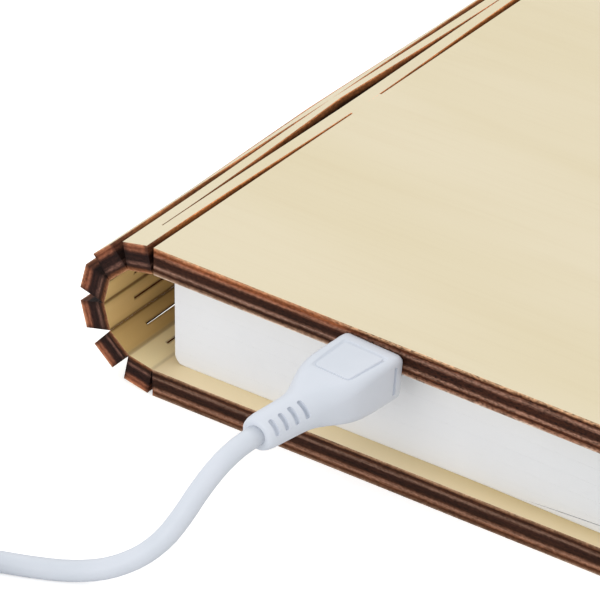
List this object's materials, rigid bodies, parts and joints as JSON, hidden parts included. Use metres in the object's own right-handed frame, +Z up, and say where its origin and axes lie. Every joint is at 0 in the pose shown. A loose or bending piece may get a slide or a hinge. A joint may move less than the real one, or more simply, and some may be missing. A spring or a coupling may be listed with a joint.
{
  "type": "folding book lamp",
  "caption": "Closed folding lamp shaped like a book: slotted plywood covers and flexible spine, white pleated paper bellows, light module inside, charging lead plugged into the end",
  "frame": {"origin": "middle of the closed book's footprint, on the surface it lies on; the charging lead is not counted", "axes": "+X from the spine to the fore-edge, +Y along the spine away from the charging socket, +Z up from the back cover to the front cover"},
  "size_m": [0.2244, 0.3153, 0.0251],
  "materials": {
    "ply_cover": "satin",
    "ply_spine": "satin",
    "paper": "matte",
    "magnet": "polished",
    "circuit_green": "satin",
    "chip_black": "matte",
    "usb_steel": "polished",
    "tray_white": "matte",
    "cell_foil": "satin",
    "circuit_white": "satin",
    "diode_yellow": "satin",
    "screw_steel": "satin",
    "wire_red": "satin",
    "lead_plastic": "satin",
    "tie_grey": "matte",
    "insert_white": "satin"
  },
  "bodies": {
    "back_cover": {"back_cover": "ply_cover", "back_end_sheet": "paper", "back_magnets": "magnet", "trigger_magnet": "magnet"},
    "spine_1": {"spine_strip_1": "ply_spine", "pleat_pack_1": "paper"},
    "spine_2": {"spine_strip_2": "ply_spine", "pleat_pack_2": "paper"},
    "spine_3": {"spine_strip_3": "ply_spine", "pleat_pack_3": "paper"},
    "spine_4": {"spine_strip_4": "ply_spine", "pleat_pack_4": "paper"},
    "spine_5": {"spine_strip_5": "ply_spine", "pleat_pack_5": "paper"},
    "spine_6": {"spine_strip_6": "ply_spine", "pleat_pack_6": "paper"},
    "front_cover": {"front_cover": "ply_cover", "front_end_sheet": "paper", "front_magnets": "magnet", "control_board": "circuit_green", "board_chips": "chip_black", "hall_switch": "chip_black", "usb_socket": "usb_steel", "module_tray": "tray_white", "battery_cell": "cell_foil", "led_board": "circuit_white", "led_chips": "diode_yellow", "module_screws": "screw_steel", "module_wires": "wire_red", "micro_plug_shell": "usb_steel", "micro_plug_grip": "lead_plastic"},
    "lead": {"cable_run": "lead_plastic", "cable_coil": "lead_plastic", "cable_tail": "lead_plastic", "cable_tie": "tie_grey", "usb_a_grip": "lead_plastic", "usb_a_shell": "usb_steel", "usb_a_insert": "insert_white"}
  },
  "joints": [
    {"name": "fold_1", "type": "hinge", "parent": "back_cover", "child": "spine_1", "pos_m": [-0.072, 0, 0.0045], "axis": [0, -1, 0], "range_deg": [0, 12]},
    {"name": "fold_2", "type": "hinge", "parent": "spine_1", "child": "spine_2", "pos_m": [-0.07631, 0, 0.00541], "axis": [0, -1, 0], "range_deg": [0, 30]},
    {"name": "fold_3", "type": "hinge", "parent": "spine_2", "child": "spine_3", "pos_m": [-0.07958, 0, 0.00836], "axis": [0, -1, 0], "range_deg": [0, 34]},
    {"name": "fold_4", "type": "hinge", "parent": "spine_3", "child": "spine_4", "pos_m": [-0.08064, 0, 0.01263], "axis": [0, -1, 0], "range_deg": [0, 29]},
    {"name": "fold_5", "type": "hinge", "parent": "spine_4", "child": "spine_5", "pos_m": [-0.0795, 0, 0.01688], "axis": [0, -1, 0], "range_deg": [0, 34]},
    {"name": "fold_6", "type": "hinge", "parent": "spine_5", "child": "spine_6", "pos_m": [-0.07618, 0, 0.01977], "axis": [0, -1, 0], "range_deg": [0, 30]},
    {"name": "fold_7", "type": "hinge", "parent": "spine_6", "child": "front_cover", "pos_m": [-0.07186, 0, 0.0206], "axis": [0, -1, 0], "range_deg": [0, 12]},
    {"name": "lead_swing", "type": "hinge", "parent": "front_cover", "child": "lead", "pos_m": [-0.0376, 0, 0.01225], "axis": [0, -1, 0], "range_deg": [-181, 0]}
  ],
  "couplings": [
    {"joint": "fold_1", "follows": "fold_3", "ratio": 0.35294},
    {"joint": "fold_2", "follows": "fold_3", "ratio": 0.88235},
    {"joint": "fold_4", "follows": "fold_3", "ratio": 0.85294},
    {"joint": "fold_5", "follows": "fold_3", "ratio": 1},
    {"joint": "fold_6", "follows": "fold_3", "ratio": 0.88235},
    {"joint": "fold_7", "follows": "fold_3", "ratio": 0.35294},
    {"joint": "lead_swing", "follows": "fold_3", "ratio": -5.3235}
  ]
}
